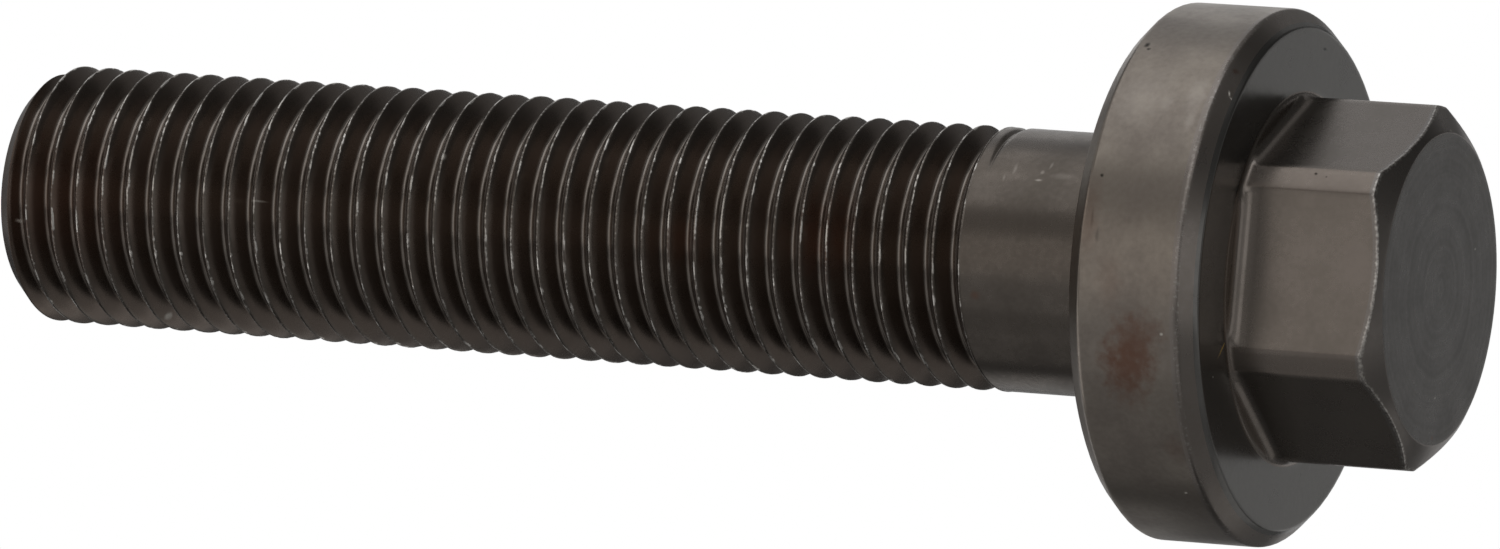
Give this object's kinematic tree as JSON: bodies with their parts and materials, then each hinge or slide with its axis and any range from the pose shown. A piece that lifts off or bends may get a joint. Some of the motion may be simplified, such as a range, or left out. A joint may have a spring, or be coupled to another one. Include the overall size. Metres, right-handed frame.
{
  "type": "hex flange bolt",
  "caption": "Partly threaded hex flange bolt with a thick chamfered flange, milled hexagon and short plain shank, for clamping joints.",
  "frame": {"origin": "centre of the end face of the hexagon, which the bolt stands on", "axes": "+Z along the bolt from the head to the thread tip; the middle of one hexagon flat looks along -Y"},
  "size_m": [0.0278, 0.0278, 0.0799],
  "materials": {
    "bolt": "dark phosphated or blackened steel with a thin oil film, machined"
  },
  "bodies": {
    "root": {"bolt": "bolt"}
  },
  "joints": []
}
